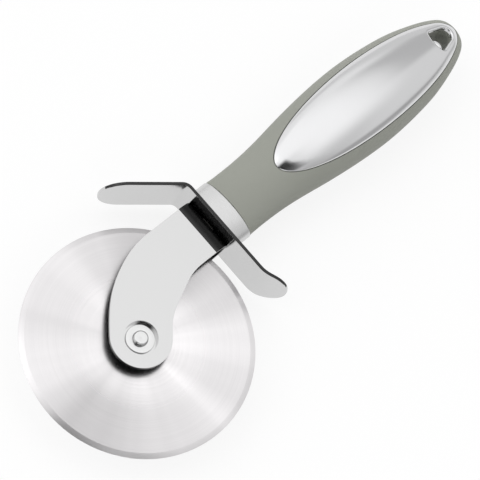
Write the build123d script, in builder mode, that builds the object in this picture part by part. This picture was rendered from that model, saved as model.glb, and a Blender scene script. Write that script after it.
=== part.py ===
from build123d import *
from math import cos, radians, sin
import os

os.makedirs("parts", exist_ok=True)

# All lengths are in millimetres. The cutter lies on its side, with the wheel flat,
# the handle along +X and the front inlay up.

# Driving dimensions: cutting wheel
wheel_radius = 40.0
wheel_thickness = 1.2
bevel_width = 1.9
cutting_edge = 0.15

# Driving dimensions: axle
pin_radius = 2.5
pin_stand_out = 1.4
pin_chamfer = 0.35
running_clearance = 0.05
axial_play = 0.1
thrust_washer_width = 3.0
thrust_washer_thickness = 0.55
retaining_washer_width = 2.45
retaining_washer_thickness = 0.8
washer_corner = 0.2

# Driving dimensions: fork
fork_sheet = 1.5
fork_width = 9.8
fork_strip_width = 19.2
hub_radius = 10.6
rim_gap = 5.15
arch_rise = 6.2
recess_radius = 5.85
recess_wall = 0.9
forward_hub_angle = 140.0
back_hub_angle = -45.0

# Driving dimensions: finger guard
guard_sheet = 1.15
guard_width = 18.6
guard_flat_forward = 12.1
guard_flat_back = 23.0
forward_wing_reach = 31.6
forward_wing_angle = 53.0
forward_wing_bend = 3.0
back_wing_run = 7.0
back_wing_angle = 30.0
back_wing_bend = 10.0
wing_tip_radius = 8.9

# Driving dimensions: ferrule
ferrule_width = 23.6
ferrule_depth = 11.0
ferrule_length = 8.3
ferrule_wall = 1.0
ferrule_rim_radius = 0.35

# Driving dimensions: tang
tang_width = 9.0
tang_thickness = 2.6
tang_length = 78.0
tenon_width = 5.0
peened_head_radius = 2.9
peened_head_height = 3.0
anchor_hole_radius = 2.0
anchor_hole_pitch = 26.0

# Driving dimensions: handle
handle_offset = 16.1
grip_length = 111.2
grip_width = 31.8
grip_depth = 24.4
grip_skin = 1.6
core_clearance = 0.05
core_setback = 14.8

# Driving dimensions: inlays
inlay_tip_margin = 1.4
inlay_length = 89.2
inlay_width = 25.2
inlay_proud = 0.45
inlay_depth = 0.85
inlay_gap = 0.12
seat_inset = 1.0
snap_post_radius = 1.6
snap_post_pitch = 40.0
snap_post_setback = 18.0
snap_post_end = 4.5
snap_post_gap = 0.05

# Driving dimensions: hang hole
hang_hole_base_setback = 11.9
hang_hole_length = 8.6
hang_hole_width = 8.4
hang_hole_bulge = 1.3
hang_hole_nose_radius = 3.0
hang_hole_nose_angle = 65.0
hang_hole_corner_radius = 0.9

# How far a cutting tool runs past the face it cuts
overrun = 1.0

# The handle's sections: place along the grip, half width, half depth and how much of a
# wall's thickness is laid on there, as shares of the grip's sizes
grip_section_shares = (
    (0.0, 0.726, 0.459, 1.0),
    (0.052, 0.714, 0.488, 1.0),
    (0.123, 0.723, 0.566, 1.0),
    (0.213, 0.774, 0.705, 1.0),
    (0.302, 0.856, 0.836, 1.0),
    (0.391, 0.928, 0.926, 1.0),
    (0.48, 0.979, 0.984, 1.0),
    (0.561, 1.0, 1.0, 1.0),
    (0.641, 0.985, 0.98, 1.0),
    (0.721, 0.937, 0.918, 1.0),
    (0.802, 0.854, 0.816, 1.0),
    (0.873, 0.727, 0.697, 1.0),
    (0.927, 0.601, 0.578, 1.0),
    (0.963, 0.487, 0.471, 0.95),
    (0.986, 0.37, 0.361, 0.85),
    (0.9965, 0.24, 0.238, 0.6),
    (1.0, 0.1, 0.098, 0.25),
)

# The fork arm's two long edges between hub and strip: place along the arm as a share of
# its free length, and height above the axle as a share of the edge's own height there
forward_edge_shares = ((0.08, 0.7), (0.385, 0.935))
back_edge_shares = ((0.318, -0.29), (0.545, 0.47))
forward_edge_end_share = 0.66
back_edge_end_share = 0.84

# Places worked out from the driving dimensions, measured from the wheel's centre
arm_inside = fork_width / 2 - fork_sheet
seat_height = wheel_thickness / 2 + axial_play + thrust_washer_thickness
recess_floor = seat_height + fork_sheet
pin_end = recess_floor + retaining_washer_thickness + pin_stand_out
crown = wheel_radius + rim_gap + fork_sheet
arch_start = crown - arch_rise
guard_back = crown + guard_sheet
ferrule_end = guard_back + ferrule_length
grip_end = ferrule_end + grip_length
inlay_start = grip_end - inlay_tip_margin - inlay_length

# The origin is below the middle of the whole cutter, at the height of its lowest point
wheel_x = (wheel_radius - grip_end) / 2
wheel_y = (wheel_radius - handle_offset - forward_wing_reach) / 2
wheel_z = grip_depth / 2 + inlay_proud
handle_y = wheel_y + handle_offset

# The wheel's plane seen from the front and from the rear, the same plane on the handle's
# axis, and the upright sections along the wheel's and the handle's middle
front = Plane((wheel_x, wheel_y, wheel_z))
rear = Plane((wheel_x, wheel_y, wheel_z), x_dir=(1, 0, 0), z_dir=(0, 0, -1))
handle_front = Plane((wheel_x, handle_y, wheel_z))
wheel_section = Plane((wheel_x, wheel_y, wheel_z), x_dir=(1, 0, 0), z_dir=(0, -1, 0))
handle_section = Plane((wheel_x, handle_y, wheel_z), x_dir=(1, 0, 0), z_dir=(0, -1, 0))
wheel_axis = Axis((wheel_x, wheel_y, wheel_z), (0, 0, 1))


def across_handle(distance):
    """The plane across the handle at a distance from the wheel's centre."""
    return Plane((wheel_x + distance, handle_y, wheel_z), x_dir=(0, 1, 0), z_dir=(1, 0, 0))


def grip_form(growth):
    """The handle's swelling body, with a wall's thickness laid on or taken off."""
    with BuildPart() as form:
        for along, width_share, depth_share, wall_share in grip_section_shares:
            place = ferrule_end + along * (grip_length + growth)
            with BuildSketch(across_handle(place)):
                Ellipse(
                    width_share * grip_width / 2 + wall_share * growth,
                    depth_share * grip_depth / 2 + wall_share * growth,
                )
        loft()
    return form.part


def inlay_outline(growth):
    """The inlay's plan outline, grown or shrunk, drawn on the handle's middle plane."""
    with BuildSketch(handle_front) as outline:
        with Locations((inlay_start + inlay_length / 2, 0)):
            Ellipse(inlay_length / 2 + growth, inlay_width / 2 + growth)
    return outline.sketch


def hang_hole_outline():
    """The hang hole: a triangle with a bulging base and a round nose at the tip."""
    base = grip_end - hang_hole_base_setback
    nose = base + hang_hole_length - hang_hole_bulge
    corner = hang_hole_width / 2
    with BuildSketch(handle_front) as outline:
        with BuildLine():
            base_arc = ThreePointArc((base, -corner), (base - hang_hole_bulge, 0), (base, corner))
            nose_centre = (nose - hang_hole_nose_radius, 0)
            nose_arc = CenterArc(
                nose_centre, hang_hole_nose_radius, -hang_hole_nose_angle, 2 * hang_hole_nose_angle
            )
            Line(base_arc @ 1, nose_arc @ 1)
            Line(nose_arc @ 0, base_arc @ 0)
        make_face()
        fillet(outline.vertices().group_by(Axis.X)[0], hang_hole_corner_radius)
    return outline.sketch


# Cutting wheel: a flat disc ground to a bevel on both faces
with BuildPart() as cutting_wheel:
    with BuildSketch(wheel_section):
        with BuildLine():
            Polyline(
                (pin_radius + running_clearance, -wheel_thickness / 2),
                (wheel_radius - bevel_width, -wheel_thickness / 2),
                (wheel_radius, -cutting_edge / 2),
                (wheel_radius, cutting_edge / 2),
                (wheel_radius - bevel_width, wheel_thickness / 2),
                (pin_radius + running_clearance, wheel_thickness / 2),
                close=True,
            )
        make_face()
    revolve(axis=wheel_axis)

cutting_wheel.part.label = "cutting_wheel"
export_step(cutting_wheel.part, "parts/cutting_wheel.step")

# Axle pin: a plain pin with chamfered ends that stand out of the retaining washers
with BuildPart() as axle_pin:
    with BuildSketch(front):
        Circle(pin_radius)
    extrude(amount=pin_end, both=True)
    chamfer(axle_pin.edges().filter_by(GeomType.CIRCLE), pin_chamfer)

axle_pin.part.label = "axle_pin"
export_step(axle_pin.part, "parts/axle_pin.step")


def ring_on_pin(side, height, width, thickness, corner):
    """A washer on the axle pin, lying at a height on the front or rear side."""
    with BuildPart() as ring:
        with BuildSketch(side.offset(height)):
            Circle(pin_radius + running_clearance + width)
            Circle(pin_radius + running_clearance, mode=Mode.SUBTRACT)
        extrude(amount=thickness)
        if corner:
            outer_edges = ring.faces().filter_by(GeomType.CYLINDER).sort_by(SortBy.AREA)[-1].edges()
            fillet(outer_edges.filter_by(GeomType.CIRCLE), corner)
    return ring


# Thrust washers: thin nylon rings that centre the wheel between the two seats
thrust_height = wheel_thickness / 2 + axial_play
thrust_size = (thrust_height, thrust_washer_width, thrust_washer_thickness, 0)
front_thrust_washer = ring_on_pin(front, *thrust_size)
rear_thrust_washer = ring_on_pin(rear, *thrust_size)

front_thrust_washer.part.label = "front_thrust_washer"
export_step(front_thrust_washer.part, "parts/front_thrust_washer.step")
rear_thrust_washer.part.label = "rear_thrust_washer"
export_step(rear_thrust_washer.part, "parts/rear_thrust_washer.step")

# Retaining washers: bright rings pressed on the pin's ends, in the arms' recesses
retaining_size = (recess_floor, retaining_washer_width, retaining_washer_thickness, washer_corner)
front_retaining_washer = ring_on_pin(front, *retaining_size)
rear_retaining_washer = ring_on_pin(rear, *retaining_size)

front_retaining_washer.part.label = "front_retaining_washer"
export_step(front_retaining_washer.part, "parts/front_retaining_washer.step")
rear_retaining_washer.part.label = "rear_retaining_washer"
export_step(rear_retaining_washer.part, "parts/rear_retaining_washer.step")

# Fork: one strip folded over an arched web, its arms swept aside to the axle
strip_forward = handle_offset + fork_strip_width / 2
strip_back = handle_offset - fork_strip_width / 2
with BuildPart() as fork:
    with BuildSketch(handle_section):
        with Locations((arch_start, 0)):
            Ellipse(arch_rise, fork_width / 2)
        with Locations(((arch_start - hub_radius) / 2, 0)):
            Rectangle(arch_start + hub_radius, fork_width)
        with Locations((arch_start, 0)):
            Ellipse(arch_rise - fork_sheet, arm_inside, mode=Mode.SUBTRACT)
        with Locations(((arch_start - hub_radius - overrun) / 2, 0)):
            Rectangle(arch_start + hub_radius + overrun, 2 * arm_inside, mode=Mode.SUBTRACT)
    extrude(amount=handle_offset + fork_strip_width + hub_radius, both=True)
    with BuildSketch(front):
        with BuildLine():
            hub_arc = CenterArc(
                (0, 0), hub_radius, forward_hub_angle, 360 + back_hub_angle - forward_hub_angle
            )
            forward_points = [
                (along * arch_start, height * strip_forward) for along, height in forward_edge_shares
            ]
            forward_edge = Spline(
                hub_arc @ 0,
                *forward_points,
                (forward_edge_end_share * arch_start, strip_forward),
                tangents=(-(hub_arc % 0), (1, 0)),
            )
            back_points = [
                (along * arch_start, height * strip_back) for along, height in back_edge_shares
            ]
            back_edge = Spline(
                hub_arc @ 1,
                *back_points,
                (back_edge_end_share * arch_start, strip_back),
                tangents=(hub_arc % 1, (1, 0)),
            )
            Polyline(
                forward_edge @ 1,
                (crown + overrun, strip_forward),
                (crown + overrun, strip_back),
                back_edge @ 1,
            )
        make_face()
    extrude(amount=fork_width, both=True, mode=Mode.INTERSECT)
    for side in (front, rear):
        with BuildSketch(side.offset(seat_height)):
            Circle(recess_radius + recess_wall)
        extrude(amount=arm_inside - seat_height + fork_sheet / 2)
        with BuildSketch(side.offset(recess_floor)):
            Circle(recess_radius)
        extrude(amount=fork_width, mode=Mode.SUBTRACT)
        with BuildSketch(side):
            Circle(pin_radius + running_clearance)
        extrude(amount=fork_width, mode=Mode.SUBTRACT)
    with BuildSketch(across_handle(arch_start)):
        Rectangle(tenon_width, tang_thickness)
    extrude(amount=arch_rise + overrun, mode=Mode.SUBTRACT)

fork.part.label = "fork"
export_step(fork.part, "parts/fork.step")

# Finger guard: one bent strip between the fork's web and the ferrule
guard_middle = crown + guard_sheet / 2
forward_bend_side = (forward_wing_bend + guard_sheet) * sin(radians(forward_wing_angle))
forward_wing_side = forward_wing_reach - guard_flat_forward - forward_bend_side
forward_wing_run = forward_wing_side / cos(radians(forward_wing_angle))
with BuildPart() as finger_guard:
    with BuildSketch(handle_front):
        with BuildLine():
            flat = Line((guard_middle, -guard_flat_back), (guard_middle, guard_flat_forward))
            forward_bend = JernArc(
                flat @ 1, flat % 1, forward_wing_bend + guard_sheet / 2, forward_wing_angle
            )
            Line(forward_bend @ 1, forward_bend @ 1 + (forward_bend % 1) * forward_wing_run)
            back_bend = JernArc(
                flat @ 0, -(flat % 0), back_wing_bend + guard_sheet / 2, back_wing_angle
            )
            Line(back_bend @ 1, back_bend @ 1 + (back_bend % 1) * back_wing_run)
        trace(line_width=guard_sheet)
    extrude(amount=guard_width / 2, both=True)
    wing_corners = finger_guard.edges().sort_by(SortBy.LENGTH)[:4]
    fillet(wing_corners, wing_tip_radius)
    with BuildSketch(across_handle(crown)):
        Rectangle(tenon_width, tang_thickness)
    extrude(amount=guard_sheet, mode=Mode.SUBTRACT)

finger_guard.part.label = "finger_guard"
export_step(finger_guard.part, "parts/finger_guard.step")

# Ferrule: an oval ring with a rounded rim where it meets the grip
with BuildPart() as ferrule:
    with BuildSketch(across_handle(guard_back)):
        Ellipse(ferrule_width / 2, ferrule_depth / 2)
        Ellipse(
            ferrule_width / 2 - ferrule_wall, ferrule_depth / 2 - ferrule_wall, mode=Mode.SUBTRACT
        )
    extrude(amount=ferrule_length)
    rim = ferrule.faces().sort_by(Axis.X)[-1].outer_wire().edges()
    fillet(rim, ferrule_rim_radius)

ferrule.part.label = "ferrule"
export_step(ferrule.part, "parts/ferrule.step")

# The tang's peened head, pressed to the curve of the arch
head_start = crown - fork_sheet - peened_head_height
with BuildPart() as peened_head:
    with BuildSketch(across_handle(head_start)):
        Circle(peened_head_radius)
    extrude(amount=peened_head_height)
    fillet(peened_head.edges().sort_by(Axis.X)[0], peened_head_height / 2)
    with BuildSketch(handle_section):
        with Locations((arch_start, 0)):
            Ellipse(arch_rise - fork_sheet, arm_inside)
    extrude(amount=peened_head_radius, both=True, mode=Mode.INTERSECT)

# Tang: a flat bar with two holes that the core grips, and a tenon through guard and web
with BuildPart() as tang:
    with BuildSketch(handle_front):
        with Locations((guard_back + tang_length / 2, 0)):
            Rectangle(tang_length, tang_width)
            with GridLocations(anchor_hole_pitch, 0, 2, 1):
                Circle(anchor_hole_radius, mode=Mode.SUBTRACT)
    extrude(amount=tang_thickness / 2, both=True)
    with BuildSketch(across_handle(head_start + peened_head_height / 2)):
        Rectangle(tenon_width, tang_thickness)
    extrude(amount=guard_back - head_start - peened_head_height / 2)
    add(peened_head.part)

tang.part.label = "tang"
export_step(tang.part, "parts/tang.step")

# The handle's nested surfaces and plan outlines
grip_surface = grip_form(0)
core_surface = grip_form(-grip_skin)
seat_surface = grip_form(-inlay_depth)
inlay_surface = grip_form(inlay_proud)
inlay_plan = inlay_outline(0)
pocket_plan = inlay_outline(inlay_gap)
seat_plan = inlay_outline(-seat_inset)
hole_plan = hang_hole_outline()
core_end = across_handle(grip_end - core_setback)
snap_post_middle = inlay_start + snap_post_setback + snap_post_pitch / 2

# Handle core: neck, swelling body and raised seats, moulded round the tang, with holes
# for the inlays' snap posts
with BuildPart() as handle_core:
    extrude(seat_plan, amount=grip_depth, both=True)
    add(seat_surface, mode=Mode.INTERSECT)
    add(core_surface)
    with BuildSketch(across_handle(guard_back)):
        Ellipse(
            ferrule_width / 2 - ferrule_wall - core_clearance,
            ferrule_depth / 2 - ferrule_wall - core_clearance,
        )
    extrude(amount=ferrule_length)
    split(bisect_by=core_end, keep=Keep.BOTTOM)
    add(tang.part, mode=Mode.SUBTRACT)
    for side in (1, -1):
        with BuildSketch(handle_front.offset(side * (snap_post_end - snap_post_gap))):
            with Locations((snap_post_middle, 0)):
                with GridLocations(snap_post_pitch, 0, 2, 1):
                    Circle(snap_post_radius + snap_post_gap)
        extrude(amount=side * grip_depth, mode=Mode.SUBTRACT)

handle_core.part.label = "handle_core"
export_step(handle_core.part, "parts/handle_core.step")

# The pockets that hold the inlays, front and rear
with BuildPart() as inlay_pockets:
    extrude(pocket_plan, amount=grip_depth, both=True)
    add(seat_surface, mode=Mode.SUBTRACT)

# The solid tip of soft skin round the hang hole, past the core's end
with BuildPart() as solid_tip:
    add(seat_surface)
    split(bisect_by=core_end, keep=Keep.TOP)

# Grip sleeve: the soft skin over the core, open where the core's raised seats come through
with BuildPart() as grip_sleeve:
    add(grip_surface)
    add(inlay_pockets.part, mode=Mode.SUBTRACT)
    add(core_surface, mode=Mode.SUBTRACT)
    extrude(seat_plan, amount=grip_depth, both=True, mode=Mode.SUBTRACT)
    add(solid_tip.part)
    extrude(hole_plan, amount=grip_depth, both=True, mode=Mode.SUBTRACT)

grip_sleeve.part.label = "grip_sleeve"
export_step(grip_sleeve.part, "parts/grip_sleeve.step")

# Inlays: domed plates with snap posts, one on each side of the handle
with BuildPart() as front_inlay:
    extrude(inlay_plan, amount=grip_depth)
    add(seat_surface, mode=Mode.SUBTRACT)
    with BuildSketch(handle_front.offset(snap_post_end)):
        with Locations((snap_post_middle, 0)):
            with GridLocations(snap_post_pitch, 0, 2, 1):
                Circle(snap_post_radius)
    extrude(amount=grip_depth)
    add(inlay_surface, mode=Mode.INTERSECT)
    extrude(hole_plan, amount=grip_depth, mode=Mode.SUBTRACT)

front_inlay.part.label = "front_inlay"
export_step(front_inlay.part, "parts/front_inlay.step")

with BuildPart() as rear_inlay:
    mirror(front_inlay.part, about=handle_front)

rear_inlay.part.label = "rear_inlay"
export_step(rear_inlay.part, "parts/rear_inlay.step")

# The wheel's centre, which the joint turns about
print("wheel centre", wheel_x, wheel_y, wheel_z)
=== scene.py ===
from math import cos, pi, radians, sin

import bmesh
import bpy
import numpy as np
from mathutils import Matrix, Vector
from mathutils.geometry import delaunay_2d_cdt


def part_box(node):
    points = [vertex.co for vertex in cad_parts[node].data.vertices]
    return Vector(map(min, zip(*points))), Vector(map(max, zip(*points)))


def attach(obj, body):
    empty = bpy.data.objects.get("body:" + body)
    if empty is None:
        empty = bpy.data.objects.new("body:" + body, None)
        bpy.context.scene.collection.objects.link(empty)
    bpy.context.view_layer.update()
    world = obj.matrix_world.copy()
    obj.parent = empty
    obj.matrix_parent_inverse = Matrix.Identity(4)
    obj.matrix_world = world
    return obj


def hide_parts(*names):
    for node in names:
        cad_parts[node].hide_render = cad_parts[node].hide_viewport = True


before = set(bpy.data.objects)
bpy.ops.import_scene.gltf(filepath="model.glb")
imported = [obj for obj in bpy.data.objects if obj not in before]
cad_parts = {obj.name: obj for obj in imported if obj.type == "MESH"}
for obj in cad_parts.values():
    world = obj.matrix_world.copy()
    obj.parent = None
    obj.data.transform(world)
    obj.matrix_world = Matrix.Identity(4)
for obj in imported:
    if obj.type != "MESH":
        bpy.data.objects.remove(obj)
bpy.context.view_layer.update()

# Cutting wheel. A flat disc of stainless steel with a bevel ground round the rim on both
# sides. Its faces are brushed in circles, more finely near the hub, which spreads each
# reflection into a fan. Fans of lighter and darker colour are also painted on, as painted
# reflection.
mm = 0.001
same_point = 0.0001 * mm
wheel_low, wheel_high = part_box("cutting_wheel")
axle = (wheel_low + wheel_high) / 2
wheel_radius = (wheel_high.x - wheel_low.x) / 2
half_disc = (wheel_high.z - wheel_low.z) / 2
bevel_width = 1.9 * mm
cutting_edge = 0.15 * mm
bore_radius = 2.55 * mm
wheel_corner = 0.12 * mm
wheel_steps = 256
# Out to this distance from the axle the steel keeps this share of its roughness.
smooth_reach = 13.5 * mm
smooth_share = 0.5
# About a dozen fans of painted reflection in a turn, and how much lighter and darker they make the
# steel.
painted_fan_scale = 1.9
painted_fan_contrast = 0.09
# Real brush marks are a few hundredths of a millimetre apart. These are wide enough to show.
ring_pitch = 0.4 * mm
ring_depth = 0.02 * mm
ring_share = 0.25


def paint(colour, level=1.0):
    """A colour's sRGB hex value as linear red, green, blue and alpha, at a level."""
    shares = [int(colour[i : i + 2], 16) / 255 for i in (1, 3, 5)]
    linear = [s / 12.92 if s <= 0.04045 else ((s + 0.055) / 1.055) ** 2.4 for s in shares]
    return [min(1.0, s * level) for s in linear] + [1.0]


def add_node(tree, kind, inputs=None, **settings):
    """A new node with its settings, and each input given a value or a link."""
    node = tree.nodes.new(kind)
    for name, value in settings.items():
        setattr(node, name, value)
    for socket, value in (inputs or {}).items():
        if isinstance(value, bpy.types.NodeSocket):
            tree.links.new(value, node.inputs[socket])
        else:
            node.inputs[socket].default_value = value
    return node


def new_material(name, **surface):
    """A material whose surface shader has these values, and its node tree and shader."""
    made = bpy.data.materials.new(name)
    made.use_nodes = True
    shader = made.node_tree.nodes["Principled BSDF"]
    for socket, value in surface.items():
        shader.inputs[socket.replace("_", " ")].default_value = value
    return made, made.node_tree, shader


def place_in(tree, centre):
    """Object coordinates measured from a point of the cutter."""
    coordinates = add_node(tree, "ShaderNodeTexCoord")
    mapping = add_node(
        tree,
        "ShaderNodeMapping",
        {"Vector": coordinates.outputs["Object"], "Location": [-c for c in centre]},
    )
    return mapping.outputs["Vector"]


def brushed_steel(name, colour, roughness, spread):
    """Stainless steel brushed in circles round the axle: rings of slightly uneven depth, and fans
    of painted reflection in its colour.
    """
    made, tree, shader = new_material(
        name, Metallic=1.0, Anisotropic=spread, Anisotropic_Rotation=0.25
    )
    parts = add_node(tree, "ShaderNodeSeparateXYZ", {"Vector": place_in(tree, axle)})
    flat = add_node(
        tree, "ShaderNodeCombineXYZ", {"X": parts.outputs["X"], "Y": parts.outputs["Y"]}
    )
    away = add_node(tree, "ShaderNodeVectorMath", {0: flat.outputs["Vector"]}, operation="LENGTH")
    round_way = add_node(
        tree, "ShaderNodeVectorMath", {0: flat.outputs["Vector"]}, operation="NORMALIZE"
    )
    scuff = add_node(
        tree,
        "ShaderNodeMapRange",
        {
            "Value": away.outputs["Value"],
            "From Min": smooth_reach,
            "From Max": 2 * smooth_reach,
            "To Min": roughness * smooth_share,
            "To Max": roughness,
        },
        interpolation_type="SMOOTHSTEP",
    )
    tree.links.new(scuff.outputs["Result"], shader.inputs["Roughness"])
    rings = add_node(
        tree,
        "ShaderNodeMath",
        {0: away.outputs["Value"], 1: 1 / ring_pitch},
        operation="MULTIPLY",
    )
    along_axle = add_node(tree, "ShaderNodeCombineXYZ", {"Z": rings.outputs["Value"]})
    grooves = add_node(
        tree,
        "ShaderNodeVectorMath",
        {0: round_way.outputs["Vector"], 1: (0.5, 0.5, 0.5), 2: along_axle.outputs["Vector"]},
        operation="MULTIPLY_ADD",
    )
    noise = add_node(
        tree,
        "ShaderNodeTexNoise",
        {"Vector": grooves.outputs["Vector"], "Scale": 1.0, "Detail": 4.0, "Roughness": 0.65},
    )
    # Fans of painted reflection: the colour turns lighter and darker with the direction from the
    # axle alone.
    painted_fans = add_node(
        tree,
        "ShaderNodeTexNoise",
        {"Vector": round_way.outputs["Vector"], "Scale": painted_fan_scale, "Detail": 2.0},
    )
    rings_and_painted_fans = add_node(
        tree,
        "ShaderNodeMath",
        {0: noise.outputs["Fac"], 1: ring_share, 2: painted_fans.outputs["Fac"]},
        operation="MULTIPLY_ADD",
    )
    tint = add_node(
        tree,
        "ShaderNodeMapRange",
        {"Value": rings_and_painted_fans.outputs["Value"], "From Min": 0.45, "From Max": 0.8},
    )
    # The colour mixes the rings' grain with the fans of painted reflection.
    dark, light = paint(colour, 1 - painted_fan_contrast), paint(colour, 1 + painted_fan_contrast)
    mix = add_node(
        tree, "ShaderNodeMix", {0: tint.outputs["Result"], 6: dark, 7: light}, data_type="RGBA"
    )
    tree.links.new(mix.outputs[2], shader.inputs["Base Color"])
    bump = add_node(
        tree,
        "ShaderNodeBump",
        {"Height": noise.outputs["Fac"], "Strength": 0.12, "Distance": ring_depth},
    )
    tree.links.new(bump.outputs["Normal"], shader.inputs["Normal"])
    tangent = add_node(tree, "ShaderNodeTangent", direction_type="UV_MAP", uv_map="brushing")
    tree.links.new(tangent.outputs["Tangent"], shader.inputs["Tangent"])
    return made


def rounded(outline, reach, steps=4):
    """A closed outline of points with each corner turned into a small curve."""
    smooth = []
    for i, corner in enumerate(outline):
        corner = Vector(corner)
        before, after = Vector(outline[i - 1]), Vector(outline[(i + 1) % len(outline)])
        start = corner + (before - corner).normalized() * min(reach, (before - corner).length / 2)
        end = corner + (after - corner).normalized() * min(reach, (after - corner).length / 2)
        for k in range(steps + 1):
            t = k / steps
            smooth.append((1 - t) ** 2 * start + 2 * t * (1 - t) * corner + t**2 * end)
    return smooth


def turned_tree():
    """Geometry nodes that turn a closed profile round the Z axis and move it to its place."""
    tree = bpy.data.node_groups.new("turned piece", "GeometryNodeTree")
    face = tree.interface
    face.new_socket("Geometry", in_out="OUTPUT", socket_type="NodeSocketGeometry")
    face.new_socket("Geometry", in_out="INPUT", socket_type="NodeSocketGeometry")
    face.new_socket("Steps", in_out="INPUT", socket_type="NodeSocketInt")
    face.new_socket("Centre", in_out="INPUT", socket_type="NodeSocketVector")
    face.new_socket("Material", in_out="INPUT", socket_type="NodeSocketMaterial")
    given = add_node(tree, "NodeGroupInput").outputs
    size = add_node(tree, "GeometryNodeAttributeDomainSize", {"Geometry": given["Geometry"]})
    count = size.outputs["Point Count"]
    columns = add_node(tree, "ShaderNodeMath", {0: given["Steps"], 1: 1.0}, operation="ADD")
    grid = add_node(
        tree,
        "GeometryNodeMeshGrid",
        {"Vertices X": columns.outputs[0], "Vertices Y": count},
    )
    index = add_node(tree, "GeometryNodeInputIndex").outputs[0]
    row = add_node(tree, "ShaderNodeMath", {0: index, 1: count}, operation="FLOORED_MODULO")
    ratio = add_node(tree, "ShaderNodeMath", {0: index, 1: count}, operation="DIVIDE")
    column = add_node(tree, "ShaderNodeMath", {0: ratio.outputs[0]}, operation="FLOOR")
    share = add_node(
        tree, "ShaderNodeMath", {0: column.outputs[0], 1: given["Steps"]}, operation="DIVIDE"
    )
    angle = add_node(
        tree, "ShaderNodeMath", {0: share.outputs[0], 1: 2 * pi}, operation="MULTIPLY"
    )
    position = add_node(tree, "GeometryNodeInputPosition").outputs[0]
    point = add_node(
        tree,
        "GeometryNodeSampleIndex",
        {"Geometry": given["Geometry"], "Value": position, "Index": row.outputs[0]},
        data_type="FLOAT_VECTOR",
        domain="POINT",
    )
    turned = add_node(
        tree,
        "ShaderNodeVectorRotate",
        {"Vector": point.outputs["Value"], "Angle": angle.outputs[0]},
        rotation_type="Z_AXIS",
    )
    placed = add_node(
        tree,
        "ShaderNodeVectorMath",
        {0: turned.outputs["Vector"], 1: given["Centre"]},
        operation="ADD",
    )
    moved = add_node(
        tree,
        "GeometryNodeSetPosition",
        {"Geometry": grid.outputs["Mesh"], "Position": placed.outputs["Vector"]},
    )
    stored = add_node(
        tree,
        "GeometryNodeStoreNamedAttribute",
        {
            "Geometry": moved.outputs["Geometry"],
            "Name": "brushing",
            "Value": grid.outputs["UV Map"],
        },
        data_type="FLOAT2",
        domain="CORNER",
    )
    merged = add_node(
        tree,
        "GeometryNodeMergeByDistance",
        {"Geometry": stored.outputs["Geometry"], "Distance": same_point},
    )
    real = add_node(
        tree, "GeometryNodeRealizeInstances", {"Geometry": merged.outputs["Geometry"]}
    )
    coated = add_node(
        tree,
        "GeometryNodeSetMaterial",
        {"Geometry": real.outputs["Geometry"], "Material": given["Material"]},
    )
    add_node(tree, "NodeGroupOutput", {"Geometry": coated.outputs["Geometry"]})
    return tree


turning = turned_tree()


def link_mesh(name, mesh, material):
    """A new object at the origin that shows this mesh in one material."""
    piece = bpy.data.objects.new(name, mesh)
    bpy.context.scene.collection.objects.link(piece)
    if material:
        mesh.materials.clear()
        mesh.materials.append(material)
    return piece


def turned_piece(name, profile, centre, material, steps, sharp_angle=25):
    """A piece turned from a closed profile of radius and height, as a plain mesh."""
    loop = [(radius, 0.0, height) for radius, height in profile]
    loop.append(loop[0])
    outline = bpy.data.meshes.new(name + "_profile")
    outline.from_pydata(loop, [(i, i + 1) for i in range(len(loop) - 1)], [])
    source = link_mesh(name + "_profile", outline, None)
    modifier = source.modifiers.new("turning", "NODES")
    modifier.node_group = turning
    values = {"Steps": steps, "Centre": centre, "Material": material}
    for socket in turning.interface.items_tree:
        if socket.in_out == "INPUT" and socket.name in values:
            modifier[socket.identifier] = values[socket.name]
    evaluated = source.evaluated_get(bpy.context.evaluated_depsgraph_get())
    mesh = bpy.data.meshes.new_from_object(evaluated)
    bpy.data.objects.remove(source)
    work = bmesh.new()
    work.from_mesh(mesh)
    bmesh.ops.recalc_face_normals(work, faces=work.faces)
    work.to_mesh(mesh)
    work.free()
    for polygon in mesh.polygons:
        polygon.use_smooth = True
    mesh.set_sharp_from_angle(angle=radians(sharp_angle))
    mesh.name = name
    return link_mesh(name, mesh, material)


def stand_for(piece, body, slot, *nodes):
    """The piece rides on a body and stands for these nodes. The slot is not used."""
    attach(piece, body)
    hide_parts(*nodes)


# Stainless steel, brushed on a spindle: pale grey, with highlights drawn out across the rings,
# and fans of painted reflection in its colour.
wheel_steel = brushed_steel("circular brushed stainless steel", "#E4E2E3", 0.31, 0.95)
wheel_profile = rounded(
    [
        (bore_radius, -half_disc),
        (wheel_radius - bevel_width, -half_disc),
        (wheel_radius, -cutting_edge / 2),
        (wheel_radius, cutting_edge / 2),
        (wheel_radius - bevel_width, half_disc),
        (bore_radius, half_disc),
    ],
    wheel_corner,
)
wheel = turned_piece("cutting_wheel_ground", wheel_profile, axle, wheel_steel, wheel_steps)
stand_for(wheel, "wheel", "wheel_steel", "cutting_wheel")

# Axle pin and retaining washers. A bright turned pin, chamfered at its ends, with a flat
# ring of bright steel pressed on at each side in the arm's round recess.
pin_low, pin_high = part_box("axle_pin")
pin_radius = (pin_high.x - pin_low.x) / 2
pin_half = (pin_high.z - pin_low.z) / 2
pin_chamfer = 0.35 * mm
pin_corner = 0.1 * mm
# The turned profile ends this far from the axis, which is too little to see.
pin_middle = 0.02 * mm
pin_steps = 96
washer_corner = 0.2 * mm
# Patches of this size are glossier and duller by these shares, and a little lighter.
metal_grain = 1.2 * mm
metal_grain_depth = 0.01 * mm
glossier, duller = 0.85, 1.2
metal_lighter = 1.04


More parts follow.
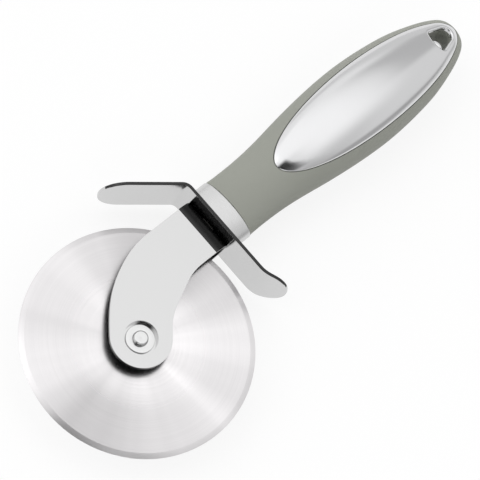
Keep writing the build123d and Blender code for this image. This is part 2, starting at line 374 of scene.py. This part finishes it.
def polished_steel(name, colour, roughness, grain=(1.0, 1.0, 1.0)):
    """Bright rolled steel: faint grain, and patches of slightly different gloss."""
    made, tree, shader = new_material(name, Metallic=1.0, Roughness=roughness)
    drawn = add_node(
        tree, "ShaderNodeVectorMath", {0: place_in(tree, axle), 1: grain}, operation="MULTIPLY"
    )
    noise = add_node(
        tree,
        "ShaderNodeTexNoise",
        {"Vector": drawn.outputs["Vector"], "Scale": 1 / metal_grain, "Detail": 3.0},
    )
    gloss = add_node(
        tree,
        "ShaderNodeMapRange",
        {
            "Value": noise.outputs["Fac"],
            "From Min": 0.3,
            "From Max": 0.7,
            "To Min": roughness * glossier,
            "To Max": roughness * duller,
        },
    )
    tree.links.new(gloss.outputs["Result"], shader.inputs["Roughness"])
    mix = add_node(
        tree,
        "ShaderNodeMix",
        {0: noise.outputs["Fac"], 6: paint(colour), 7: paint(colour, metal_lighter)},
        data_type="RGBA",
    )
    tree.links.new(mix.outputs[2], shader.inputs["Base Color"])
    bump = add_node(
        tree,
        "ShaderNodeBump",
        {"Height": noise.outputs["Fac"], "Strength": 0.05, "Distance": metal_grain_depth},
    )
    tree.links.new(bump.outputs["Normal"], shader.inputs["Normal"])
    return made


# Free-cutting steel, turned and polished: sharp reflections with hardly any grain.
pin_steel = polished_steel("bright turned steel", "#D6D6D6", 0.14)
pin_profile = rounded(
    [
        (pin_middle, -pin_half),
        (pin_radius - pin_chamfer, -pin_half),
        (pin_radius, pin_chamfer - pin_half),
        (pin_radius, pin_half - pin_chamfer),
        (pin_radius - pin_chamfer, pin_half),
        (pin_middle, pin_half),
    ],
    pin_corner,
)
pin = turned_piece("axle_pin_turned", pin_profile, axle, pin_steel, pin_steps)
stand_for(pin, "handle", "pin_steel", "axle_pin")
for side in ("front", "rear"):
    low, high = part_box(side + "_retaining_washer")
    outer, half = (high.x - low.x) / 2, (high.z - low.z) / 2
    ring = rounded(
        [(bore_radius, -half), (outer, -half), (outer, half), (bore_radius, half)],
        washer_corner,
    )
    middle = (low + high) / 2
    washer = turned_piece(side + "_retaining_ring", ring, middle, pin_steel, pin_steps)
    stand_for(washer, "handle", "pin_steel", side + "_retaining_washer")

# Thrust washers. Thin rings cut from natural nylon sheet, loose on the pin between the
# wheel and the arms' seats, so only their edges show.
nylon_cloud = 1.5 * mm


def coat(node, material):
    """The CAD node itself shows this material."""
    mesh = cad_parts[node].data
    mesh.materials.clear()
    mesh.materials.append(material)


# Natural nylon: milky white, a little light passing in, with faint clouds.
nylon, nylon_tree, nylon_shader = new_material(
    "natural nylon", Roughness=0.45, IOR=1.53, Subsurface_Weight=0.2, Subsurface_Scale=0.5 * mm
)
cloudy = add_node(
    nylon_tree,
    "ShaderNodeTexNoise",
    {"Vector": place_in(nylon_tree, axle), "Scale": 1 / nylon_cloud},
)
nylon_tint = add_node(
    nylon_tree,
    "ShaderNodeMix",
    {0: cloudy.outputs["Fac"], 6: paint("#E4E2DA"), 7: paint("#F0EEE8")},
    data_type="RGBA",
)
nylon_tree.links.new(nylon_tint.outputs[2], nylon_shader.inputs["Base Color"])
for side in ("front", "rear"):
    coat(side + "_thrust_washer", nylon)

# Fork and finger guard. Both are strips of polished stainless sheet, blanked, deburred and
# folded: the fork over an arched web, the guard into its two wings. The arms' outer faces
# and the guard's broad sides are polished. Cut edges, web and inside are coloured dark, which
# is painted shade on the edges and inside.
sheet_corner = 0.22 * mm
sheet_flatness = 0.6
# An arm is polished this far out from the wheel's middle plane, up to where the web starts,
# and in its recess. A face counts by how far its normal leans outwards.
polished_height = 4.5 * mm
web_start = 40.5 * mm
recess_reach = 9.0 * mm
flat_on = 0.5
recess_wall = -0.2
# Rolled and polished sheet: mirrors its surroundings, a little softened by the rolling.
sheet_steel = polished_steel("polished stainless sheet", "#CDCDCD", 0.13)
# The same sheet coloured dark: painted shade on the cut edges and inner faces, and a dark
# web, with only a broad dull sheen.
shade_painted_sheet = polished_steel("stainless sheet painted dark with shade", "#3E3E3E", 0.3)


def worked_copy(node, name, material, corner, flatness, sharp_angle=35):
    """A CAD node's mesh, flat faces joined within some degrees and sharp edges rounded."""
    work = bmesh.new()
    work.from_mesh(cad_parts[node].data)
    bmesh.ops.remove_doubles(work, verts=work.verts, dist=same_point)
    if flatness:
        bmesh.ops.dissolve_limit(
            work, angle_limit=radians(flatness), verts=work.verts, edges=work.edges
        )
    mesh = bpy.data.meshes.new(name)
    work.to_mesh(mesh)
    work.free()
    for layer in list(mesh.attributes):
        if layer.name == "custom_normal":
            mesh.attributes.remove(layer)
    for polygon in mesh.polygons:
        polygon.use_smooth = True
    rough = link_mesh(name + "_rough", mesh, material)
    bevel = rough.modifiers.new("rounded edges", "BEVEL")
    bevel.width = corner
    bevel.segments = 3
    bevel.limit_method = "ANGLE"
    bevel.angle_limit = radians(sharp_angle)
    bevel.miter_outer = "MITER_ARC"
    weighted = rough.modifiers.new("even shading", "WEIGHTED_NORMAL")
    weighted.keep_sharp = False
    weighted.weight = 50
    evaluated = rough.evaluated_get(bpy.context.evaluated_depsgraph_get())
    done = bpy.data.meshes.new_from_object(evaluated)
    bpy.data.objects.remove(rough)
    done.name = name
    return link_mesh(name, done, material)


def on_arm_face(polygon):
    """Whether a face of the fork is on an arm's flat outer side or in its round recess."""
    place = polygon.center - axle
    outward = polygon.normal.z * (1 if place.z > 0 else -1)
    in_recess = outward > recess_wall and place.to_2d().length < recess_reach
    on_arm = abs(place.z) > polished_height and place.x < web_start
    return in_recess or (outward > flat_on and on_arm)


def on_broad_face(polygon):
    """Whether a face of the guard is on the strip's broad sides, not on its cut edges."""
    return abs(polygon.normal.z) < flat_on


# Faces off the polished sides take the dark sheet: painted shade on cut edges and insides, and a
# dark web.
for node, is_polished in (("fork", on_arm_face), ("finger_guard", on_broad_face)):
    piece = worked_copy(node, node + "_polished", sheet_steel, sheet_corner, sheet_flatness)
    piece.data.materials.append(shade_painted_sheet)
    for polygon in piece.data.polygons:
        polygon.material_index = 0 if is_polished(polygon) else 1
    stand_for(piece, "handle", "frame_steel", node)

# Ferrule. A short oval tube of satin stainless steel with a rolled rim, pushed over the
# handle's neck; its grain runs round it.
ferrule_corner = 0.12 * mm
ferrule_grain = (3.0, 0.4, 0.4)
ferrule_flatness = 0.3
# Stainless tube, satin finished round its girth: soft broad highlights along its length.
ferrule_steel = polished_steel("satin stainless steel", "#D3D3D3", 0.3, ferrule_grain)
ferrule = worked_copy(
    "ferrule", "ferrule_satin", ferrule_steel, ferrule_corner, ferrule_flatness
)
stand_for(ferrule, "handle", "ferrule_steel", "ferrule")

# Tang. A plain bar of mild steel that runs from the fork's web through guard and ferrule
# into the handle. Its head is hammered over inside the web.
tang_corner = 0.1 * mm
tang_flatness = 0.3
# Hot rolled steel with its mill scale on: dark grey, with a dull sheen.
tang_steel = polished_steel("mild steel bar with mill scale", "#4C4B49", 0.45)
tang = worked_copy("tang", "tang_peened", tang_steel, tang_corner, tang_flatness)
stand_for(tang, "handle", "tang_steel", "tang")

# Handle core. Rigid polypropylene moulded round the tang; only hairlines of it could show
# between the skin and the inlays.
core_grain = 0.4 * mm
core_grain_depth = 0.01 * mm
uneven_patch = 22 * mm
tint_change = 0.04
gloss_change = 0.06


def moulded(name, colour, roughness, grain, depth, ior):
    """A moulded polymer with a fine grain from its mould and a slightly uneven tint."""
    made, tree, shader = new_material(name, Roughness=roughness, IOR=ior)
    place = place_in(tree, axle)
    fine = add_node(
        tree, "ShaderNodeTexNoise", {"Vector": place, "Scale": 1 / grain, "Detail": 2.0}
    )
    broad = add_node(
        tree, "ShaderNodeTexNoise", {"Vector": place, "Scale": 1 / uneven_patch, "Detail": 2.0}
    )
    dark, light = paint(colour, 1 - tint_change), paint(colour, 1 + tint_change)
    mix = add_node(
        tree, "ShaderNodeMix", {0: broad.outputs["Fac"], 6: dark, 7: light}, data_type="RGBA"
    )
    tree.links.new(mix.outputs[2], shader.inputs["Base Color"])
    gloss = add_node(
        tree,
        "ShaderNodeMapRange",
        {
            "Value": fine.outputs["Fac"],
            "To Min": roughness - gloss_change,
            "To Max": roughness + gloss_change,
        },
    )
    tree.links.new(gloss.outputs["Result"], shader.inputs["Roughness"])
    bump = add_node(
        tree,
        "ShaderNodeBump",
        {"Height": fine.outputs["Fac"], "Strength": 0.35, "Distance": depth},
    )
    tree.links.new(bump.outputs["Normal"], shader.inputs["Normal"])
    return made, shader


# Polypropylene from a plain mould: waxy mid grey, half dull.
core_plastic, _ = moulded(
    "moulded polypropylene", "#6E6F69", 0.5, core_grain, core_grain_depth, 1.49
)
coat("handle_core", core_plastic)

# Grip sleeve. Soft-touch elastomer moulded over the core with a fine matt grain, so it
# takes the light evenly and shows only a faint sheen at grazing angles.
grip_corner = 0.28 * mm
# The real grain is about a tenth of a millimetre. This one is coarse enough to show.
grip_grain = 0.28 * mm
grip_grain_depth = 0.03 * mm
# Soft-touch elastomer: grey-green, matt, with a faint bloom where the surface turns away.
grip_skin, grip_shader = moulded(
    "soft touch elastomer", "#A1A39A", 0.62, grip_grain, grip_grain_depth, 1.5
)
grip_shader.inputs["Sheen Weight"].default_value = 0.12
grip_shader.inputs["Sheen Roughness"].default_value = 0.5
grip = worked_copy("grip_sleeve", "grip_sleeve_moulded", grip_skin, grip_corner, 0)
stand_for(grip, "handle", "grip_rubber", "grip_sleeve")

# Inlays. Domed plates with a satin-bright chromed face, one on each side of the handle,
# clipped to the core. A bevel runs round each plate, wider and deeper at the end towards
# the wheel, and the face rolls down into the hang hole.
handle_low, handle_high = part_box("grip_sleeve")
inlay_low, inlay_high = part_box("front_inlay")
handle_mid_y = (handle_low.y + handle_high.y) / 2
handle_mid_z = (handle_low.z + handle_high.z) / 2
grip_length = handle_high.x - handle_low.x
grip_width = 31.8 * mm
grip_depth = 24.4 * mm
groove = 0.12 * mm
inlay_half_length = (inlay_high.x - inlay_low.x) / 2 - groove
inlay_half_width = (inlay_high.y - inlay_low.y) / 2 - groove
inlay_mid_x = (inlay_low.x + inlay_high.x) / 2
inlay_proud = 0.44 * mm
plate_thickness = 1.25 * mm
# The bevel's width and drop, along the sides and at the end towards the wheel, and the
# power of the distance along the plate with which the one passes into the other.
rim_width = 2.2 * mm
rim_drop = 0.32 * mm
end_rim_width = 5.2 * mm
end_rim_drop = 0.62 * mm
end_sharpness = 4
edge_roll = 0.35 * mm
# A rolled edge follows a quarter circle to this share of its width, just short of upright.
roll_reach = 0.97
hole_rim_width = 1.15 * mm
hole_rim_drop = 1.0 * mm
# The hang hole is a round nose towards the tip, two small corners and a bulging base.
hole_base_setback = 11.9 * mm
hole_length = 8.6 * mm
hole_width = 8.4 * mm
hole_bulge = 1.3 * mm
hole_base_share = 0.7
hole_base_steps = 9
hole_nose_radius = 3.0 * mm
hole_nose_angle = 65
hole_nose_steps = 25
hole_corner_radius = 0.9 * mm
hole_corner_forward = 0.35 * mm
hole_corner_inset = 0.1 * mm
hole_corner_angle = 66
hole_corner_share = 0.8
hole_corner_steps = 10
hole_samples_per_side = 8
# The plan's points: rows at this spacing, which keep clear of the rim and of the hole by
# these shares of their widths, and loops at shares of the rolled edge, rim and hole's rim.
plate_spacing = 0.9 * mm
rows_from_rim = 1.12
rows_from_hole = 1.3
rim_points = 260
roll_shares = (0.0, 0.06, 0.2, 0.45, 0.75, 1.0)
rim_shares = (0.25, 0.4, 0.6, 0.8, 1.0)
hole_shares = (0.0, 0.06, 0.18, 0.36, 0.6, 0.85, 1.1)
slope_step = 0.02 * mm
tiny = 1e-9
# The handle's sections: shares of its length, width and depth, and of the plate's height
# over the skin.
grip_section_shares = (
    (0.0, 0.726, 0.459, 1.0),
    (0.052, 0.714, 0.488, 1.0),
    (0.123, 0.723, 0.566, 1.0),
    (0.213, 0.774, 0.705, 1.0),
    (0.302, 0.856, 0.836, 1.0),
    (0.391, 0.928, 0.926, 1.0),
    (0.48, 0.979, 0.984, 1.0),
    (0.561, 1.0, 1.0, 1.0),
    (0.641, 0.985, 0.98, 1.0),
    (0.721, 0.937, 0.918, 1.0),
    (0.802, 0.854, 0.816, 1.0),
    (0.873, 0.727, 0.697, 1.0),
    (0.927, 0.601, 0.578, 1.0),
    (0.963, 0.487, 0.471, 0.95),
    (0.986, 0.37, 0.361, 0.85),
    (0.9965, 0.24, 0.238, 0.6),
    (1.0, 0.1, 0.098, 0.25),
)


def natural_spline(places, values):
    """A smooth curve through values at places, as a function of place."""
    gap = np.diff(places)
    matrix = np.eye(len(places))
    side = np.zeros(len(places))
    for i in range(1, len(places) - 1):
        matrix[i, i - 1 : i + 2] = gap[i - 1], 2 * (gap[i - 1] + gap[i]), gap[i]
        rise = (values[i + 1] - values[i]) / gap[i] - (values[i] - values[i - 1]) / gap[i - 1]
        side[i] = 6 * rise
    bend = np.linalg.solve(matrix, side)

    def value(at):
        i = np.clip(np.searchsorted(places, at) - 1, 0, len(gap) - 1)
        left, right, width = at - places[i], places[i + 1] - at, gap[i]
        curve = (bend[i] * right**3 + bend[i + 1] * left**3) / (6 * width)
        line_left = (values[i] / width - bend[i] * width / 6) * right
        line_right = (values[i + 1] / width - bend[i + 1] * width / 6) * left
        return curve + line_left + line_right

    return value


along, widths, depths, walls = np.array(grip_section_shares).T
section_places = along * (grip_length + inlay_proud)
half_width_at = natural_spline(section_places, widths * grip_width / 2 + walls * inlay_proud)
half_depth_at = natural_spline(section_places, depths * grip_depth / 2 + walls * inlay_proud)


def hang_hole(growth):
    """The hang hole's outline in plan, grown outwards by a distance."""
    base = handle_high.x - hole_base_setback
    half = hole_width / 2
    bulge_radius = (half**2 + hole_bulge**2) / (2 * hole_bulge)
    bulge_angle = np.arcsin(half / bulge_radius)
    nose_x = base + hole_length - hole_bulge - hole_nose_radius
    nose_turn = radians(hole_nose_angle)
    reach = hole_nose_radius + growth
    nose = [
        (nose_x + reach * cos(t), handle_mid_y + reach * sin(t))
        for t in np.linspace(-nose_turn, nose_turn, hole_nose_steps)
    ]
    corner_x = base + hole_corner_forward
    corner_out = half - hole_corner_radius - hole_corner_inset
    last_turn = radians(180) - bulge_angle * hole_corner_share
    reach = hole_corner_radius + growth
    corners = [
        [
            (corner_x + reach * cos(t), handle_mid_y + sign * corner_out + reach * (sign * sin(t)))
            for t in np.linspace(radians(hole_corner_angle), last_turn, hole_corner_steps)
        ]
        for sign in (1, -1)
    ]
    bulge_x = base - hole_bulge + bulge_radius
    reach = bulge_radius + growth
    bulge = [
        (bulge_x - reach * cos(t * bulge_angle), handle_mid_y + reach * sin(t * bulge_angle))
        for t in np.linspace(hole_base_share, -hole_base_share, hole_base_steps)
    ]
    return np.array(nose + corners[0] + bulge + corners[1][::-1])


def dense(outline, per_side):
    """An outline with each of its sides divided evenly."""
    following = np.roll(outline, -1, axis=0)
    shares = np.arange(per_side) / per_side
    return np.concatenate([a + (b - a) * shares[:, None] for a, b in zip(outline, following)])


hole_line = hang_hole(0.0)
hole_samples = dense(hole_line, hole_samples_per_side)


def rolled_down(gap, width, drop):
    """How far a face has rolled down where an edge is a gap away."""
    share = 1 - np.minimum(gap, width) / width
    return drop * (1 - np.sqrt(1 - (roll_reach * share) ** 2))


def plate_height(points):
    """Height of the plate's face above the handle's middle plane, with its bevels."""
    x, y = points[:, 0], points[:, 1] - handle_mid_y
    place = x - handle_low.x
    width, depth = half_width_at(place), half_depth_at(place)
    crown = depth * np.sqrt(np.maximum(0.0, 1 - (y / width) ** 2))
    u, v = (x - inlay_mid_x) / inlay_half_length, y / inlay_half_width
    level = np.sqrt(u**2 + v**2) + tiny
    slope = np.sqrt((u / inlay_half_length) ** 2 + (v / inlay_half_width) ** 2) / level
    inset = np.maximum((1 - level) / np.maximum(slope, tiny), 0)
    at_end = np.clip(-u, 0, 1) ** end_sharpness
    reach = rim_width + (end_rim_width - rim_width) * at_end
    fall = rim_drop + (end_rim_drop - rim_drop) * at_end
    drop = fall * np.maximum(0, 1 - inset / reach) ** 2
    drop += rolled_down(inset, edge_roll, edge_roll)
    gap = np.full(len(points), hole_rim_width)
    near = np.hypot(x - hole_line[:, 0].mean(), y) < hole_length
    if near.any():
        spread = points[near][:, None, :] - hole_samples[None, :, :]
        gap[near] = np.sqrt((spread**2).sum(2)).min(1)
    return crown - drop - rolled_down(gap, hole_rim_width, hole_rim_drop)


def plate_normals(points):
    """Outward directions of the plate's face, from small steps in its height."""
    aside, ahead = [slope_step, 0], [0, slope_step]
    slope_x = plate_height(points + aside) - plate_height(points - aside)
    slope_y = plate_height(points + ahead) - plate_height(points - ahead)
    normals = np.stack([-slope_x, -slope_y, np.full(len(points), 2 * slope_step)], 1)
    return normals / np.linalg.norm(normals, axis=1)[:, None]


def plate_plan():
    """The plate's plan: points in rows and along its rims, and the triangles between."""
    points, loops = [], []

    def add_loop(loop):
        start, count = len(points), len(loop)
        points.extend(Vector(p) for p in loop)
        loops.extend((start + i, start + (i + 1) % count) for i in range(count))

    angles = np.linspace(0, 2 * pi, rim_points, endpoint=False)
    insets = [share * edge_roll for share in roll_shares]
    insets += [share * rim_width for share in rim_shares]
    for inset in insets:
        a, b = inlay_half_length - inset, inlay_half_width - inset
        add_loop([(inlay_mid_x + a * cos(t), handle_mid_y + b * sin(t)) for t in angles])
    for share in hole_shares:
        add_loop(hang_hole(share * hole_rim_width))
    rows = int(2 * inlay_half_width / plate_spacing)
    columns = int(2 * inlay_half_length / plate_spacing)
    limit = rows_from_rim * rim_width
    for i in range(1, columns):
        for j in range(1, rows):
            x = inlay_low.x + (i + 0.5 * (j % 2)) * plate_spacing
            y = inlay_low.y + j * plate_spacing
            u, v = x - inlay_mid_x, y - handle_mid_y
            inside = (u / (inlay_half_length - limit)) ** 2 + (v / (inlay_half_width - limit)) ** 2
            clear = np.hypot(hole_samples[:, 0] - x, hole_samples[:, 1] - y).min()
            if inside < 1 and clear > rows_from_hole * hole_rim_width:
                points.append(Vector((x, y)))
    made = delaunay_2d_cdt(points, loops, [], 0, same_point)
    return np.array([tuple(v) for v in made[0]]), made[2]


plan_points, plan_faces = plate_plan()


def in_outline(point, outline):
    """Whether a point lies inside a closed outline."""
    x, y = point
    ahead = np.roll(outline, -1, axis=0)
    crosses = (outline[:, 1] > y) != (ahead[:, 1] > y)
    a, b = outline[crosses], ahead[crosses]
    cut = a[:, 0] + (y - a[:, 1]) / (b[:, 1] - a[:, 1]) * (b[:, 0] - a[:, 0])
    return np.count_nonzero(cut > x) % 2 == 1


def inlay_plate(name, side, material):
    """A closed plate: domed face, walls round the rim and the hole, and a back."""
    heights = plate_height(plan_points)
    normals = plate_normals(plan_points)
    normals[:, 2] *= side
    count = len(plan_points)
    faces = []
    for face in plan_faces:
        middle = plan_points[list(face)].mean(0)
        if not in_outline(middle, hole_line):
            a, b, c = plan_points[list(face)[:3]]
            turn = (b[0] - a[0]) * (c[1] - a[1]) - (b[1] - a[1]) * (c[0] - a[0])
            faces.append(tuple(face) if turn > 0 else tuple(face)[::-1])
    used = len(faces)
    edges = dict.fromkeys(pair for face in faces for pair in zip(face, face[1:] + face[:1]))
    faces += [tuple(count + i for i in face[::-1]) for face in faces]
    faces += [(j, i, i + count, j + count) for i, j in edges if (j, i) not in edges]
    top = np.column_stack([plan_points, heights])
    back = np.column_stack([plan_points, heights - plate_thickness])
    points = np.concatenate([top, back])
    points[:, 2] = handle_mid_z + side * points[:, 2]
    if side < 0:
        faces = [face[::-1] for face in faces]
    mesh = bpy.data.meshes.new(name)
    mesh.from_pydata([tuple(p) for p in points], [], faces)
    corner_normals = []
    for polygon in mesh.polygons:
        on_face = polygon.index < used
        polygon.use_smooth = on_face
        flat = tuple(polygon.normal)
        for vertex in polygon.vertices:
            corner_normals.append(tuple(normals[vertex]) if on_face else flat)
    mesh.normals_split_custom_set(corner_normals)
    return link_mesh(name, mesh, material)


wear_patch = 6 * mm
# Satin bright chrome plating: bright and slightly softened, with patches of worn gloss.
chrome, chrome_tree, chrome_shader = new_material(
    "satin bright chrome", Metallic=1.0, Roughness=0.17, Base_Color=paint("#DBDBDC")
)
wear = add_node(
    chrome_tree,
    "ShaderNodeTexNoise",
    {"Vector": place_in(chrome_tree, axle), "Scale": 1 / wear_patch, "Detail": 3.0},
)
worn_gloss = add_node(
    chrome_tree,
    "ShaderNodeMapRange",
    {"Value": wear.outputs["Fac"], "To Min": 0.14, "To Max": 0.2},
)
chrome_tree.links.new(worn_gloss.outputs["Result"], chrome_shader.inputs["Roughness"])
for side, sign in (("front", 1), ("rear", -1)):
    plate = inlay_plate(side + "_inlay_plate", sign, chrome)
    stand_for(plate, "handle", "inlay_chrome", side + "_inlay")

# Floor. A matt white painted surface under the cutter. The camera, mirrors and glass see it
# lifted to nearly white with its soft shadow kept, and it throws back only plain light.
floor_half = 20.0
floor_drop = 0.05 * mm
floor_lift = 0.825
floor_mesh = bpy.data.meshes.new("floor")
floor_corners = ((-1, -1), (1, -1), (1, 1), (-1, 1))
floor_mesh.from_pydata(
    [(x * floor_half, y * floor_half, -floor_drop) for x, y in floor_corners], [], [(0, 1, 2, 3)]
)
# Matt wall paint: no gloss at all.
floor_paint, floor_tree, floor_shader = new_material(
    "matt white paint", Roughness=0.9, Specular_IOR_Level=0.0
)
seen = add_node(floor_tree, "ShaderNodeLightPath").outputs
shown = seen["Is Camera Ray"]
for ray in ("Is Glossy Ray", "Is Transmission Ray"):
    shown = add_node(
        floor_tree, "ShaderNodeMath", {0: shown, 1: seen[ray]}, operation="MAXIMUM"
    ).outputs[0]
lift = add_node(floor_tree, "ShaderNodeMath", {0: shown, 1: floor_lift}, operation="MULTIPLY")
lit = add_node(
    floor_tree,
    "ShaderNodeMix",
    {0: shown, 6: paint("#CBCBCB"), 7: paint("#7C7C7C")},
    data_type="RGBA",
)
floor_tree.links.new(lit.outputs[2], floor_shader.inputs["Base Color"])
floor_shader.inputs["Emission Color"].default_value = (1, 1, 1, 1)
floor_tree.links.new(lift.outputs[0], floor_shader.inputs["Emission Strength"])
floor = link_mesh("floor", floor_mesh, floor_paint)

# Studio light. A grey room with a long softbox overhead and one on each side of the camera,
# each given as a panel in a plan at unit height over the cutter. Its level is plain: a
# colour renders about as it is written.
studio_gain = 1.19
room_level = 0.66
# Directions lower than this read the plan as if they had this height.
lowest_slope = 0.05
# Each panel's middle in X and Y, half its size in X and Y, its edge's softness and its level.
studio_panels = (
    ("darker wall behind the tip", 3.0, 0.72, 2.15, 0.78, 0.2, 0.5),
    ("lighter wall beside the tip", 3.0, -1.0, 2.4, 0.98, 0.1, 0.72),
    ("light wall on the far side", 0.0, 6.9, 1.5, 5.6, 0.4, 0.88),
    ("long overhead softbox", 0.1, 0.55, 0.56, 1.0, 0.36, 1.06),
    ("shade low on the near side", 0.6, -7.2, 6.0, 5.0, 0.8, 0.38),
    ("shade behind the wheel", -1.6, -3.6, 2.0, 2.5, 0.45, 0.45),
    ("softbox left of the camera", -0.75, 0.95, 0.5, 0.5, 0.18, 1.6),
    ("softbox right of the camera", -0.95, -1.0, 0.45, 0.4, 0.18, 1.6),
    ("camera stand", -0.22, -0.6, 0.27, 0.35, 0.12, 0.06),
    ("dark gap at the camera", -2.94, -0.2, 3.0, 0.28, 0.13, 0.02),
)
world = bpy.data.worlds.new("studio")
world.use_nodes = True
bpy.context.scene.world = world
sky = world.node_tree
towards = add_node(
    sky,
    "ShaderNodeSeparateXYZ",
    {"Vector": add_node(sky, "ShaderNodeTexCoord").outputs["Generated"]},
).outputs
rise = add_node(sky, "ShaderNodeMath", {0: towards["Z"], 1: lowest_slope}, operation="MAXIMUM")
plan = [
    add_node(sky, "ShaderNodeMath", {0: towards[axis], 1: rise.outputs[0]}, operation="DIVIDE")
    for axis in ("X", "Y")
]
level = room_level
for name, middle_x, middle_y, half_x, half_y, softness, shade in studio_panels:
    share = 1.0
    for place, middle, half in zip(plan, (middle_x, middle_y), (half_x, half_y)):
        away = add_node(
            sky, "ShaderNodeMath", {0: place.outputs[0], 1: middle}, operation="SUBTRACT"
        )
        away = add_node(sky, "ShaderNodeMath", {0: away.outputs[0]}, operation="ABSOLUTE")
        within = add_node(
            sky,
            "ShaderNodeMapRange",
            {
                "Value": away.outputs[0],
                "From Min": half + softness,
                "From Max": half - softness,
            },
            interpolation_type="SMOOTHSTEP",
            label=name,
        )
        share = add_node(
            sky, "ShaderNodeMath", {0: within.outputs["Result"], 1: share}, operation="MULTIPLY"
        ).outputs[0]
    level = add_node(sky, "ShaderNodeMix", {"Factor": share, "A": level, "B": shade})
    level = level.outputs["Result"]
seen = add_node(sky, "ShaderNodeLightPath").outputs["Is Camera Ray"]
level = add_node(
    sky, "ShaderNodeMath", {0: level, 1: studio_gain}, operation="MULTIPLY"
).outputs[0]
level = add_node(sky, "ShaderNodeMix", {"Factor": seen, "A": level, "B": 1.0})
background = sky.nodes["Background"]
sky.links.new(level.outputs["Result"], background.inputs["Color"])

# Camera, at the photograph's place: high over the wheel, looking down along the handle. Its
# place and its lens come from fitting the wheel's rim and the handle's outline.
camera_place = axle + Vector((-407.5, -103.5, 981.85)) * mm
camera_aim = axle + Vector((52.24, 5.37, 0.0)) * mm
camera_up = Vector((0.565, 0.7484, 0.3475))
towards_camera = (camera_place - camera_aim).normalized()
camera_data = bpy.data.cameras.new("camera")
camera_data.lens = 243.9
camera_data.sensor_width = 36.0
camera_data.clip_start = 0.05
camera_data.clip_end = 100.0
camera = bpy.data.objects.new("camera", camera_data)
across = camera_up.cross(towards_camera).normalized()
turn = Matrix((across, towards_camera.cross(across), towards_camera)).transposed()
camera.matrix_world = Matrix.Translation(camera_place) @ turn.to_4x4()
bpy.context.scene.collection.objects.link(camera)
bpy.context.scene.camera = camera
bpy.context.scene.view_settings.view_transform = "Standard"
